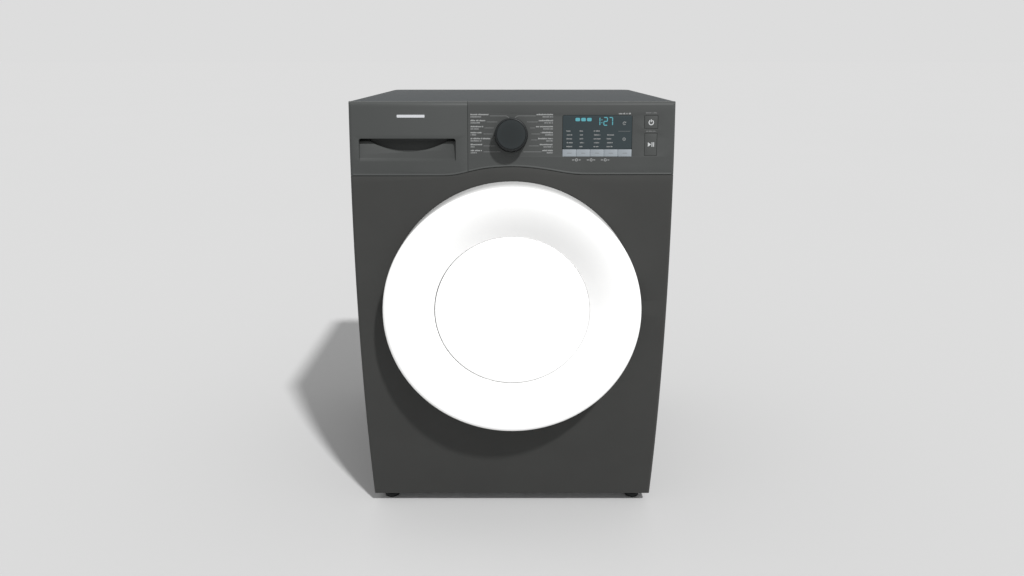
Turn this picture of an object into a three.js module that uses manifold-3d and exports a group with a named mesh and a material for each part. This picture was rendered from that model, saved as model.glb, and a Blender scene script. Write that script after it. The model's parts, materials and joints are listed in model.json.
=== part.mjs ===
// Front load washing machine. Millimetres, +Z up, front faces -Y, origin on the floor under the middle.
import * as THREE from "three";
import { mergeVertices } from "three/addons/utils/BufferGeometryUtils.js";
import Module from "manifold-3d";

const wasm = await Module();
wasm.setup();
const group = new THREE.Group();

// ---- driving dimensions ----
const HALF_W = 300; // half the cabinet width
const TOP_Z = 850;
const BODY_Z = 22; // underside of the cabinet, above the feet
const REAR_Y = 313;
const APEX_Y = -285; // most forward line of the bowed front
const APEX_Z = 410;
const BOW_R = 2100; // radius of the front's vertical bow
const BOW_STEP = 62; // height of one facet of the bow
const EDGE_R = 7; // rounding of the cabinet's front edges
const SHEET = 1.5; // cabinet sheet
const SKIN = 4; // front mouldings and panel
const SKIN_DEPTH = 16; // depth of the front pieces' returns
const GAP = 0.3; // between pieces that touch
const SEAM = 0.6; // visible joint lines

const TOP_COVER_H = 30;
const SEAM_X = -81.5; // drawer front against fascia
// Lower edge of the fascia, left to right: x, z.
const SEAM_LINE = [
  [-320, 718], [-112, 718], [-97, 721], [-82, 725], [-49, 732], [0, 735],
  [34, 733], [67, 728.5], [108, 721.5], [125, 720], [320, 720],
];

const AXIS_Z = 466; // drum, tub and door centre
const PORT_R = 172; // hole in the front panel
const DOOR_R = 242.5;
const DOOR_FACE_Y = -338;
const DOOR_SEAM_R = 147.8; // ring against window cover
const HINGE_X = -230;
const HINGE_Y = -318;
const KNUCKLE_R = 5.5;
const PIN_R = 2.5;
const LATCH_X = 197;

const TUB_R = 258;
const TUB_WALL = 6;
const TUB_FRONT_Y = -205;
const TUB_REAR_Y = 205;
const DRUM_R = 240;
const DRUM_FRONT_Y = -190;
const DRUM_BACK_Y = 152;
const MOUTH_R = 152; // drum opening
const SHAFT_R = 15;
const PULLEY_R = 140;
const PULLEY_Y = [236, 252];
const MOTOR = { x: 40, z: 138, r: 55, y0: 40, y1: 200 };
const MOTOR_PULLEY_R = 12;
const BELT_T = 3;

const DAMPER = { x: 150, y: 20, r: 14, rod: 6 };
const SPRING = { x: 205, y: 145, z0: 649, z1: 794, coil: 9, wire: 2, turns: 6 };
const PUMP = { x: -75, y: -130, z: 100 };
const FOOT = { x: 267, yFront: -213, yRear: 272, r: 16, h: 10, stem: 5, top: 52 };

const KNOB = { x: -1.4, z: 790.5, r: 30.8, h: 24, shaft: 4.5 };
const DISPLAY = [93, 220, 766.3, 825.8]; // x0, x1, z0, z1
const POWER = [243, 267, 803, 825];
const START = [244, 266, 755, 794];
const OPTIONS = { x0: 93, x1: 220, z0: 753, z1: 765.7, count: 5, gap: 0.5 };
const HANDLE = [-282, -103.5, 744, 785];
const HANDLE_DEPTH = 20;
const TRAY = { x0: -274, x1: -98, y0: -226, y1: 20, z0: 750, z1: 808, wall: 2.5 };
const DISPENSER = { x0: -284, x1: -90, y0: -224, y1: 112, z0: 741, z1: 817, wall: 2 };
const INLET = { x: -170, z: 790 };
const GLAND = { x: 232, z: 780 };
const OUTLET = { x: -232, z: 130 };
const FITTING_Y = 338; // rearmost face of the connectors

const FINISH = {
  panel: { color: 0x48494b, roughness: 0.45, metalness: 0.35 },
  moulding: { color: 0x4c4e4f, roughness: 0.42, metalness: 0.0 },
  top: { color: 0x5c5d61, roughness: 0.5, metalness: 0.2 },
  white: { color: 0xf4f4f2, roughness: 0.2, metalness: 0.0 },
  black: { color: 0x1c1d1f, roughness: 0.5, metalness: 0.0 },
  silver: { color: 0xa0a5a8, roughness: 0.35, metalness: 0.6 },
  glass: { color: 0xb8c8cc, roughness: 0.05, metalness: 0.0 },
  display: { color: 0x101517, roughness: 0.08, metalness: 0.0 },
  steel: { color: 0xc2c5c8, roughness: 0.28, metalness: 1.0 },
  zinc: { color: 0x9a9c9e, roughness: 0.5, metalness: 0.8 },
  grey: { color: 0x8d9092, roughness: 0.6, metalness: 0.0 },
  tub: { color: 0xd8d8d4, roughness: 0.6, metalness: 0.0 },
  rubber: { color: 0x5c5f61, roughness: 0.8, metalness: 0.0 },
  belt: { color: 0x161616, roughness: 0.85, metalness: 0.0 },
  concrete: { color: 0x9c9a94, roughness: 0.95, metalness: 0.0 },
  cast: { color: 0x8f9296, roughness: 0.55, metalness: 0.7 },
};

// ---- solids ----
function solidOf(geometry) {
  const flat = geometry.index ? geometry.toNonIndexed() : geometry;
  const bare = new THREE.BufferGeometry();
  bare.setAttribute("position", flat.getAttribute("position"));
  const merged = mergeVertices(bare, 1e-3);
  return new wasm.Manifold(
    new wasm.Mesh({
      numProp: 3,
      vertProperties: merged.attributes.position.array,
      triVerts: new Uint32Array(merged.index.array),
    }),
  );
}

function geometryOf(solid) {
  const mesh = solid.getMesh();
  const vertices = new Float32Array(mesh.numVert * 3);
  for (let i = 0; i < mesh.numVert; i++) {
    const at = i * mesh.numProp;
    vertices.set(mesh.vertProperties.subarray(at, at + 3), i * 3);
  }
  const indexed = new THREE.BufferGeometry();
  indexed.setAttribute("position", new THREE.BufferAttribute(vertices, 3));
  indexed.setIndex(new THREE.BufferAttribute(mesh.triVerts, 1));
  const geometry = indexed.toNonIndexed();
  geometry.computeVertexNormals();
  return geometry;
}

function add(name, solid, finish) {
  const mesh = new THREE.Mesh(geometryOf(solid), new THREE.MeshStandardMaterial(FINISH[finish]));
  mesh.name = name;
  group.add(mesh);
}

const join = (first, ...rest) => rest.reduce((sum, s) => sum.add(s), first);
const cut = (from, ...tools) => tools.reduce((left, s) => left.subtract(s), from);
const common = (first, ...rest) => rest.reduce((left, s) => left.intersect(s), first);

function box(x0, x1, y0, y1, z0, z1) {
  const g = new THREE.BoxGeometry(x1 - x0, y1 - y0, z1 - z0);
  return solidOf(g.translate((x0 + x1) / 2, (y0 + y1) / 2, (z0 + z1) / 2));
}

// Round bar along Y at (x, z).
function rodY(x, z, r, y0, y1, segments = 24) {
  const g = new THREE.CylinderGeometry(r, r, y1 - y0, segments);
  return solidOf(g.translate(x, (y0 + y1) / 2, z));
}

// Round bar along Z at (x, y).
function rodZ(x, y, r, z0, z1, segments = 24) {
  const g = new THREE.CylinderGeometry(r, r, z1 - z0, segments).rotateX(Math.PI / 2);
  return solidOf(g.translate(x, y, (z0 + z1) / 2));
}

// Solid of revolution about the Y axis through (x, z): profile of [radius, y].
function turnedGeometry(profile, segments) {
  const points = profile.map(([r, y]) => new THREE.Vector2(r, y));
  if (THREE.ShapeUtils.isClockWise(points)) points.reverse();
  const onAxis = points[0].x === 0 && points[points.length - 1].x === 0;
  if (!onAxis) points.push(points[0].clone());
  return new THREE.LatheGeometry(points, segments);
}

function turned(profile, segments = 48, x = 0, z = AXIS_Z) {
  return solidOf(turnedGeometry(profile, segments).translate(x, 0, z));
}

function shapeOf(points) {
  return new THREE.Shape(points.map(([u, v]) => new THREE.Vector2(u, v)));
}

// Outline in (x, z) pushed from y0 back to y1.
function plate(points, y0, y1) {
  const shape = Array.isArray(points) ? shapeOf(points) : points;
  const g = new THREE.ExtrudeGeometry(shape, { depth: y1 - y0, bevelEnabled: false, curveSegments: 5 });
  return solidOf(g.rotateX(Math.PI / 2).translate(0, y1, 0));
}

// Outline in (x, y) raised from z0 to z1.
function slab(points, z0, z1) {
  const shape = Array.isArray(points) ? shapeOf(points) : points;
  const g = new THREE.ExtrudeGeometry(shape, { depth: z1 - z0, bevelEnabled: false, curveSegments: 5 });
  return solidOf(g.translate(0, 0, z0));
}

// Outline in (y, z) pushed from x0 to x1, with optional rounded ends.
const YZ_TO_X = new THREE.Matrix4().makeBasis(
  new THREE.Vector3(0, 1, 0),
  new THREE.Vector3(0, 0, 1),
  new THREE.Vector3(1, 0, 0),
);
function barX(points, x0, x1, round = 0) {
  const g = new THREE.ExtrudeGeometry(shapeOf(points), {
    depth: x1 - x0 - 2 * round,
    bevelEnabled: round > 0,
    bevelThickness: round,
    bevelSize: round,
    bevelOffset: -round,
    bevelSegments: 3,
  });
  return solidOf(g.applyMatrix4(YZ_TO_X).translate(x0 + round, 0, 0));
}

function roundedRect(x0, x1, z0, z1, r) {
  const s = new THREE.Shape();
  s.moveTo(x0 + r, z0);
  s.lineTo(x1 - r, z0);
  s.absarc(x1 - r, z0 + r, r, -Math.PI / 2, 0);
  s.lineTo(x1, z1 - r);
  s.absarc(x1 - r, z1 - r, r, 0, Math.PI / 2);
  s.lineTo(x0 + r, z1);
  s.absarc(x0 + r, z1 - r, r, Math.PI / 2, Math.PI);
  s.lineTo(x0, z0 + r);
  s.absarc(x0 + r, z0 + r, r, Math.PI, 1.5 * Math.PI);
  return s;
}

// Tube along a curve.
function tube(points, outer, inner, steps, segments) {
  const shape = new THREE.Shape().absarc(0, 0, outer, 0, 2 * Math.PI);
  if (inner > 0) shape.holes.push(new THREE.Path().absarc(0, 0, inner, 0, 2 * Math.PI, true));
  const path = new THREE.CatmullRomCurve3(points.map((p) => new THREE.Vector3(...p)));
  const g = new THREE.ExtrudeGeometry(shape, { steps, curveSegments: segments, extrudePath: path });
  return solidOf(g);
}

// ---- the bowed front ----
const bowY = (z) => APEX_Y + (z - APEX_Z) ** 2 / (2 * BOW_R);

function bowPoints(z0, z1, offset) {
  const points = [];
  const steps = Math.max(1, Math.round((z1 - z0) / BOW_STEP));
  for (let i = 0; i <= steps; i++) {
    const z = z0 + ((z1 - z0) * i) / steps;
    points.push([bowY(z) + offset, z]);
  }
  return points;
}

// Everything between two depths behind the front surface.
function bowed(x0, x1, z0, z1, front, back) {
  const nearSide = bowPoints(z0, z1, front);
  const farSide = bowPoints(z0, z1, back).reverse();
  return barX([...farSide, ...nearSide].reverse(), x0, x1);
}

// The cabinet's front outline, drawn in by inset on every side.
function frontHull(inset) {
  const r = EDGE_R - inset;
  const topZ = TOP_Z - inset;
  const turnZ = topZ - r;
  const points = bowPoints(BODY_Z + inset, turnZ, inset);
  const cornerY = bowY(turnZ) + inset;
  for (const a of [30, 60, 90]) {
    const t = (a * Math.PI) / 180;
    points.push([cornerY + r * (1 - Math.cos(t)), turnZ + r * Math.sin(t)]);
  }
  points.push([-150, topZ], [-150, BODY_Z + inset]);
  return barX(points.reverse(), -HALF_W + inset, HALF_W - inset, r - 1);
}

// Everything above the fascia's lower edge, raised by lift, between two x.
function aboveSeam(lift, x0, x1) {
  const zAt = (x) => {
    const i = SEAM_LINE.findIndex(([sx]) => sx >= x);
    const [xa, za] = SEAM_LINE[i - 1];
    const [xb, zb] = SEAM_LINE[i];
    return za + ((zb - za) * (x - xa)) / (xb - xa) + lift;
  };
  const inner = SEAM_LINE.filter(([x]) => x > x0 && x < x1).map(([x, z]) => [x, z + lift]);
  const edge = [[x0, zAt(x0)], ...inner, [x1, zAt(x1)]];
  return plate([...edge, [x1, 900], [x0, 900]], -300, -140);
}

const outerHull = frontHull(0);
const innerHull = frontHull(SKIN);
const sheetHull = frontHull(SHEET);
const frontLayer = bowed(-310, 310, 0, 900, -2, SKIN_DEPTH);
const frontBlock = common(outerHull, frontLayer);

// Hollow front piece: a region of the front with walls all round, open to the rear.
function frontPiece(region, hollow) {
  return cut(common(frontBlock, region), common(innerHull, hollow));
}

// ---- cabinet ----
const portHole = rodY(0, AXIS_Z, PORT_R, -300, -200, 48);
const portLip = turned(
  [[PORT_R, -284], [PORT_R + 2, -284], [PORT_R + 2, -266], [PORT_R, -266]],
  48,
);
const latchSlot = box(LATCH_X - 10, LATCH_X + 14, -300, -260, AXIS_Z - 17, AXIS_Z + 17);
const belowSeam = cut(box(-310, 310, -300, -140, 0, 800), aboveSeam(-SEAM, -315, 315));
const frontPanel = join(
  cut(common(frontBlock, belowSeam), sheetHull, portHole, latchSlot),
  portLip,
);
add("front_panel", frontPanel, "panel");

// A side panel with its lips turned in all round.
function sidePanel(side) {
  const [outX, inX] = [HALF_W, HALF_W - 14];
  const topZ = TOP_Z - TOP_COVER_H - GAP;
  const front = SKIN_DEPTH + SEAM;
  const outline = (e) => {
    const near = bowPoints(BODY_Z + e, topZ - e, front + e);
    return [...near, [REAR_Y - SHEET - GAP - e, topZ - e], [REAR_Y - SHEET - GAP - e, BODY_Z + e]].reverse();
  };
  const sheet = cut(barX(outline(0), inX, outX), barX(outline(SHEET), inX - 1, outX - SHEET));
  const hanger = box(SPRING.x - 12, outX - 1, SPRING.y - 12, SPRING.y + 12, SPRING.z1 + 1, SPRING.z1 + 6);
  const right = join(sheet, hanger);
  return side > 0 ? right : right.mirror([1, 0, 0]);
}
add("left_side_panel", sidePanel(-1), "panel");
add("right_side_panel", sidePanel(1), "panel");

const rearOutline = roundedRect(-HALF_W + 1, HALF_W - 1, BODY_Z + 4, TOP_Z - TOP_COVER_H - GAP, 4);
const serviceHole = rodY(0, AXIS_Z - 40, 190, 300, 320, 40);
const rearPanel = cut(
  plate(rearOutline, REAR_Y - SHEET, REAR_Y),
  serviceHole,
  rodY(INLET.x, INLET.z, 14, 300, 320),
  rodY(GLAND.x, GLAND.z, 10, 300, 320),
  rodY(OUTLET.x, OUTLET.z, 13, 300, 320),
);
add("rear_panel", rearPanel, "zinc");
const coverDisc = turned(
  [[0, 309.7], [186, 309.7], [186, 313.3], [200, 313.3], [200, 316], [182, 316], [178, 312.3], [0, 312.3]],
  40, 0, AXIS_Z - 40,
);
add("rear_service_cover", coverDisc, "zinc");

const topOutline = new THREE.Shape();
topOutline.moveTo(-HALF_W, -260);
topOutline.lineTo(HALF_W, -260);
topOutline.lineTo(HALF_W, REAR_Y - 22);
topOutline.absarc(HALF_W - 22, REAR_Y - 22, 22, 0, Math.PI / 2);
topOutline.lineTo(-HALF_W + 22, REAR_Y);
topOutline.absarc(-HALF_W + 22, REAR_Y - 22, 22, Math.PI / 2, Math.PI);
const topCover = cut(
  slab(topOutline, TOP_Z - TOP_COVER_H, TOP_Z),
  bowed(-310, 310, 800, 900, -60, SKIN_DEPTH + SEAM),
  box(-288, 288, -205, 298, TOP_Z - TOP_COVER_H - 1, TOP_Z - 6),
);
add("top_cover", topCover, "top");

const baseX = HALF_W - 14.5;
const baseY = [bowY(BODY_Z) + SKIN_DEPTH + GAP, REAR_Y - SHEET - GAP];
const footAt = [
  ["front_left", -FOOT.x, FOOT.yFront],
  ["front_right", FOOT.x, FOOT.yFront],
  ["rear_left", -FOOT.x, FOOT.yRear],
  ["rear_right", FOOT.x, FOOT.yRear],
];
let base = cut(
  box(-baseX, baseX, ...baseY, BODY_Z, 60),
  box(-baseX + 2, baseX - 2, baseY[0] + 2, baseY[1] - 2, BODY_Z + 2, 61),
  box(-120, 120, -60, 180, BODY_Z - 1, BODY_Z + 4),
);
for (const [, x, y] of footAt) {
  base = join(base, rodZ(x, y, 13, BODY_Z, 55, 20));
}
for (const [, x, y] of footAt) {
  base = cut(base, rodZ(x, y, FOOT.stem + GAP, BODY_Z - 1, 56, 16));
}
add("base_tray", base, "zinc");

for (const [place, x, y] of footAt) {
  const profile = [
    [0, 0], [FOOT.r - 1.5, 0], [FOOT.r, 2], [FOOT.r, FOOT.h - 3], [FOOT.r - 3, FOOT.h],
    [9, FOOT.h], [9, FOOT.h + 7], [FOOT.stem, FOOT.h + 7], [FOOT.stem, FOOT.top], [0, FOOT.top],
  ];
  const g = turnedGeometry(profile, 16).rotateX(Math.PI / 2);
  add("foot_" + place, solidOf(g.translate(x, y, 0)), "black");
}

// ---- control panel ----
const tilt = Math.atan((KNOB.z - APEX_Z) / BOW_R);
function onFascia(geometry, x, z) {
  return solidOf(geometry.rotateX(-tilt).translate(x, bowY(z), z));
}
const keyHole = ([x0, x1, z0, z1], g) => bowed(x0 - g, x1 + g, z0 - g, z1 + g, -5, 30);
const key = ([x0, x1, z0, z1]) => bowed(x0, x1, z0, z1, -0.2, 7);
const optionKeys = [];
const pitch = (OPTIONS.x1 - OPTIONS.x0 + OPTIONS.gap) / OPTIONS.count;
for (let i = 0; i < OPTIONS.count; i++) {
  const x0 = OPTIONS.x0 + i * pitch;
  optionKeys.push([x0, x0 + pitch - OPTIONS.gap, OPTIONS.z0, OPTIONS.z1]);
}
const [dx0, dx1, dz0, dz1] = DISPLAY;
const fasciaBody = frontPiece(
  aboveSeam(0, SEAM_X + SEAM / 2, 315),
  aboveSeam(SKIN, SEAM_X + SEAM / 2 + SKIN, 315),
);
const drawerFrame = cut(
  bowed(-285, SEAM_X + 2, 724, TOP_Z - TOP_COVER_H - 4, SKIN_DEPTH + 0.8, SKIN_DEPTH + 4),
  box(-292, -93, -300, -140, 740, 814),
);
const frameLink = bowed(SEAM_X + SEAM / 2, SEAM_X + SEAM / 2 + SKIN, 740, 812, 1, SKIN_DEPTH + 4);
const fascia = cut(
  join(fasciaBody, drawerFrame, frameLink),
  onFascia(new THREE.CylinderGeometry(5.2, 5.2, 60, 24), KNOB.x, KNOB.z),
  bowed(dx0 - GAP, dx1 + GAP, dz0 - GAP, dz1 + GAP, -5, 2 + GAP),
  bowed(dx0 + 5, dx1 - 5, dz0 + 5, dz1 - 5, -5, 30),
  bowed(OPTIONS.x0 - 0.4, OPTIONS.x1 + 0.4, OPTIONS.z0 - 0.4, OPTIONS.z1 + 0.4, -5, 30),
  keyHole(POWER, 0.4),
  keyHole(START, 0.4),
);
add("control_fascia", fascia, "moulding");
add("display_window", common(
  bowed(dx0, dx1, dz0, dz1, 0, 2),
  plate(roundedRect(dx0, dx1, dz0, dz1, 3), -300, -200),
), "display");
optionKeys.forEach((rect, i) => add("option_button_" + (i + 1), key(rect), "silver"));
add("power_button", key(POWER), "moulding");
add("start_button", key(START), "moulding");

const knobProfile = [
  [0, 12], [KNOB.shaft, 12], [KNOB.shaft, -0.6], [KNOB.r, -0.6], [KNOB.r, -4], [KNOB.r - 1, -KNOB.h + 3],
  [KNOB.r - 3.5, -KNOB.h], [0, -KNOB.h + 0.8],
];
const knobBody = onFascia(turnedGeometry(knobProfile, 36), KNOB.x, KNOB.z);
const pointer = onFascia(
  new THREE.BoxGeometry(2, 1.6, 9).translate(0, -KNOB.h + 0.3, KNOB.r - 10), KNOB.x, KNOB.z,
);
add("program_knob", cut(knobBody, pointer), "black");

const boardCase = cut(
  bowed(-60, 285, 745, 814, 24, 48),
  bowed(-57, 282, 748, 811, 27, 60),
);
add("control_board", boardCase, "grey");

// ---- detergent drawer ----
const drawerRegion = aboveSeam(0, -315, SEAM_X - SEAM / 2);
const drawerHollow = aboveSeam(SKIN, -315, SEAM_X - SEAM / 2 - SKIN);
const [hx0, hx1, hz0, hz1] = HANDLE;
const pocketBlock = bowed(hx0 - 2, hx1 + 3, hz0 - 3, hz1 + 12, 1, HANDLE_DEPTH + 3);
// The pull: a sloping back wall that runs in under the upper edge.
const pocketHollow = barX([
  [bowY(hz0 + 5) - 8, hz0 + 5],
  [bowY(hz0 + 5) + 2, hz0 + 5],
  [bowY(hz1) + HANDLE_DEPTH, hz1 - 3],
  [bowY(hz1) + HANDLE_DEPTH, hz1 + 8],
  [bowY(hz1) + SKIN + 1, hz1 + 8],
  [bowY(hz1) + SKIN + 1, hz1],
  [bowY(hz1) - 8, hz1],
].reverse(), hx0, hx1);
const drawerFront = cut(join(frontPiece(drawerRegion, drawerHollow), pocketBlock), pocketHollow);
add("drawer_front", drawerFront, "moulding");

const t = TRAY;
const trayCell = (x0, x1, y0, y1) => box(x0, x1, y0, y1, t.z0 + t.wall, t.z1 + 1);
const divide1 = t.x0 + 58;
const divide2 = t.x0 + 118;
const w = t.wall;
const tray = cut(
  box(t.x0, t.x1, t.y0, t.y1, t.z0, t.z1),
  trayCell(t.x0 + w, divide1, t.y0 + w, t.y1 - w),
  trayCell(divide1 + w, divide2, t.y0 + w, t.y1 - w),
  trayCell(divide2 + w, t.x1 - w, t.y0 + w, t.y1 - w),
  box(t.x0 - 1, t.x1 + 1, t.y1 - 40, t.y1 + 1, t.z1 - 14, t.z1 + 1),
);
add("drawer_tray", tray, "grey");
const d = DISPENSER;
const housing = cut(
  join(
    box(d.x0, d.x1, d.y0, d.y1, d.z0, d.z1),
    rodZ(-150, 40, 14, d.z0 - 5, d.z0 + 3, 16),
  ),
  box(d.x0 + d.wall, d.x1 - d.wall, d.y0 - 1, d.y1 - d.wall, d.z0 + d.wall, d.z1 - d.wall),
  rodZ(-150, 40, 11, d.z0 - 6, d.z0 + 4, 16),
  rodY(INLET.x, INLET.z, 5.5, d.y1 - 3, d.y1 + 3, 16),
);
add("dispenser_housing", housing, "tub");

// ---- water and power fittings ----
const valve = cut(
  join(
    box(INLET.x - 20, INLET.x + 20, 262, 308, INLET.z - 18, INLET.z + 18),
    rodY(INLET.x, INLET.z, 13, 300, FITTING_Y, 24),
    rodZ(INLET.x + 8, 280, 11, INLET.z + 10, INLET.z + 28, 16),
  ),
  rodY(INLET.x, INLET.z, 8.5, FITTING_Y - 16, FITTING_Y + 1, 24),
);
add("inlet_valve", valve, "white");
const hose = cut(
  rodY(INLET.x, INLET.z, 8, d.y1 + GAP, 262 - GAP, 16),
  rodY(INLET.x, INLET.z, 5.5, d.y1 - 1, 263, 16),
);
add("inlet_hose", hose, "belt");
const gland = turned([
  [0, 306], [0, 300], [9, 300], [9, REAR_Y + GAP], [14, REAR_Y + GAP], [14, 317], [9, 319], [4, 319], [4, 306],
], 20, GLAND.x, GLAND.z);
add("mains_gland", gland, "black");
const outlet = turned([
  [8, 290], [12, 290], [12, REAR_Y + GAP], [19, REAR_Y + GAP], [19, 316.3], [12, 316.3], [12, 321],
  [13, 322], [12.4, FITTING_Y], [8, FITTING_Y],
], 18, OUTLET.x, OUTLET.z);
add("drain_outlet", outlet, "black");
const pump = join(
  rodY(PUMP.x, PUMP.z, 34, PUMP.y - 30, PUMP.y + 26, 28),
  rodY(PUMP.x, PUMP.z, 25, PUMP.y + 25, PUMP.y + 92, 20),
  rodZ(PUMP.x, PUMP.y, 16, PUMP.z + 20, PUMP.z + 42, 20),
  box(PUMP.x - 30, PUMP.x + 30, PUMP.y - 20, PUMP.y + 80, BODY_Z + 3 + GAP, PUMP.z - 20),
  box(PUMP.x - 60, PUMP.x - 20, PUMP.y - 8, PUMP.y + 8, PUMP.z + 4, PUMP.z + 20),
);
add("drain_pump", pump, "grey");
const drainRun = [
  [PUMP.x - 61.5, PUMP.y, PUMP.z + 12],
  [PUMP.x - 90, PUMP.y, PUMP.z + 12],
  [-205, -60, 108],
  [-232, 40, 118],
  [-235, 170, 126],
  [OUTLET.x, 240, OUTLET.z],
  [OUTLET.x, 289.6, OUTLET.z],
];
add("drain_hose", tube(drainRun, 10, 7.5, 14, 4), "belt");

// ---- tub group ----
const neck = PORT_R + 4;
const tubFront = turned([
  [neck, TUB_FRONT_Y - 6], [neck + 5, TUB_FRONT_Y - 6], [neck + 5, TUB_FRONT_Y], [TUB_R - 12, TUB_FRONT_Y],
  [TUB_R, TUB_FRONT_Y + 12], [TUB_R, -8], [TUB_R + 7, -8], [TUB_R + 7, -GAP], [TUB_R - TUB_WALL, -GAP],
  [TUB_R - TUB_WALL, TUB_FRONT_Y + 12], [TUB_R - 14, TUB_FRONT_Y + 5], [neck, TUB_FRONT_Y + 5],
], 36);
const tubRearShell = turned([
  [TUB_R - TUB_WALL, GAP], [TUB_R + 7, GAP], [TUB_R + 7, 8], [TUB_R, 8], [TUB_R, TUB_REAR_Y - 14],
  [TUB_R - 14, TUB_REAR_Y], [48, TUB_REAR_Y], [42, TUB_REAR_Y + 18], [SHAFT_R + 2, TUB_REAR_Y + 18],
  [SHAFT_R + 2, TUB_REAR_Y - 12], [60, TUB_REAR_Y - 6], [TUB_R - 16, TUB_REAR_Y - 6],
  [TUB_R - TUB_WALL, TUB_REAR_Y - 16],
], 36);
const tubCore = rodY(0, AXIS_Z, TUB_R - 2, -400, 400, 36);
const lugs = [-1, 1].map((s) =>
  cut(
    box(s * SPRING.x - 10, s * SPRING.x + 10, SPRING.y - 10, SPRING.y + 10, 610, SPRING.z0 - 1),
    tubCore,
  ),
);
const sump = cut(
  rodZ(PUMP.x, PUMP.y, 17, 198, 240, 20),
  rodZ(PUMP.x, PUMP.y, 14, 190, 250, 20),
);
const sumpMouth = rodZ(PUMP.x, PUMP.y, 14, 190, 240, 20);
add("tub_front", cut(join(tubFront, cut(sump, tubCore)), sumpMouth), "tub");
add("tub_rear", join(tubRearShell, ...lugs), "tub");

const frontWeight = cut(
  turned([
    [neck + 9, -242], [238, -242], [240, -240], [240, TUB_FRONT_Y - GAP], [neck + 9, TUB_FRONT_Y - GAP],
  ], 48),
  box(-60, 60, -260, -190, 200, 300),
);
add("front_counterweight", frontWeight, "concrete");
const topWeight = cut(
  box(-55, 185, -110, 90, 640, 782),
  rodY(0, AXIS_Z, TUB_R + 8, -400, 400, 36),
);
add("top_counterweight", topWeight, "concrete");

const m = MOTOR;
const motorBracket = (y) =>
  cut(box(m.x - 28, m.x + 28, y, y + 12, 178, 240), rodY(0, AXIS_Z, TUB_R + GAP, -400, 400, 36));
const motor = cut(
  join(
    rodY(m.x, m.z, m.r, m.y0 + 16, m.y1 - 16, 28),
    rodY(m.x, m.z, m.r - 9, m.y0, m.y1, 28),
    motorBracket(m.y0 + 30),
    motorBracket(m.y1 - 42),
  ),
  rodY(m.x, m.z, 6.5, m.y1 - 40, m.y1 + 1, 16),
);
add("drive_motor", motor, "cast");
const rotor = turned([
  [0, m.y1 - 30], [6, m.y1 - 30], [6, PULLEY_Y[0]], [MOTOR_PULLEY_R + 3, PULLEY_Y[0]],
  [MOTOR_PULLEY_R + 3, PULLEY_Y[0] + 2], [MOTOR_PULLEY_R, PULLEY_Y[0] + 2], [MOTOR_PULLEY_R, PULLEY_Y[1] - 2],
  [MOTOR_PULLEY_R + 3, PULLEY_Y[1] - 2], [MOTOR_PULLEY_R + 3, PULLEY_Y[1]], [0, PULLEY_Y[1]],
], 24, m.x, m.z);
add("motor_rotor", rotor, "steel");

// Belt loop: two arcs and their outer tangents, grown by an offset.
function beltLoop(offset) {
  const [R, r] = [PULLEY_R + offset, MOTOR_PULLEY_R + offset];
  const dx = m.x;
  const dz = m.z - AXIS_Z;
  const along = Math.atan2(dz, dx);
  const spread = Math.acos((R - r) / Math.hypot(dx, dz));
  const points = [];
  const arc = (cx, cz, radius, from, to, steps) => {
    for (let i = 0; i <= steps; i++) {
      const a = from + ((to - from) * i) / steps;
      points.push([cx + radius * Math.cos(a), cz + radius * Math.sin(a)]);
    }
  };
  arc(0, AXIS_Z, R, along + spread, along - spread + 2 * Math.PI, 32);
  arc(m.x, m.z, r, along - spread, along + spread, 8);
  return points;
}
const belt = cut(
  plate(beltLoop(0.8 + BELT_T), PULLEY_Y[0] + 3, PULLEY_Y[1] - 3),
  plate(beltLoop(0.8), PULLEY_Y[0], PULLEY_Y[1]),
);
add("drive_belt", belt, "belt");

// Bellows between the porthole lip and the tub neck.
const GASKET_OUT = PORT_R - 1.2;
const gasketProfile = [
  [GASKET_OUT, -286], [152, -281], [151, -276], [167, -279], [167, -263], [154, -256], [154, -250],
  [167, -243], [157, -233], [157, -225], [171, -217], [171, -200],
  [neck - 1.6, -200], [neck - 1.6, -219], [162, -228], [162, -230], [173, -239], [173, -247],
  [159, -252], [159, -254], [GASKET_OUT, -262],
];
add("door_gasket", turned(gasketProfile, 36), "rubber");

// ---- drum ----
const drum = turned([
  [MOUTH_R, DRUM_FRONT_Y - 5], [DRUM_R - 22, DRUM_FRONT_Y + 6], [DRUM_R - 5, DRUM_FRONT_Y + 14],
  [DRUM_R, DRUM_FRONT_Y + 28], [DRUM_R, DRUM_BACK_Y - 10], [DRUM_R - 8, DRUM_BACK_Y], [90, DRUM_BACK_Y],
  [70, DRUM_BACK_Y - 18], [0, DRUM_BACK_Y - 18], [0, DRUM_BACK_Y - 19.2], [70.6, DRUM_BACK_Y - 19.2],
  [90.6, DRUM_BACK_Y - 1.2], [DRUM_R - 8.6, DRUM_BACK_Y - 1.2], [DRUM_R - 1.2, DRUM_BACK_Y - 10.6],
  [DRUM_R - 1.2, DRUM_FRONT_Y + 28], [DRUM_R - 6, DRUM_FRONT_Y + 15.2], [DRUM_R - 22.6, DRUM_FRONT_Y + 7.3],
  [MOUTH_R, DRUM_FRONT_Y - 3.7],
], 40);
add("drum_shell", drum, "steel");

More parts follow.
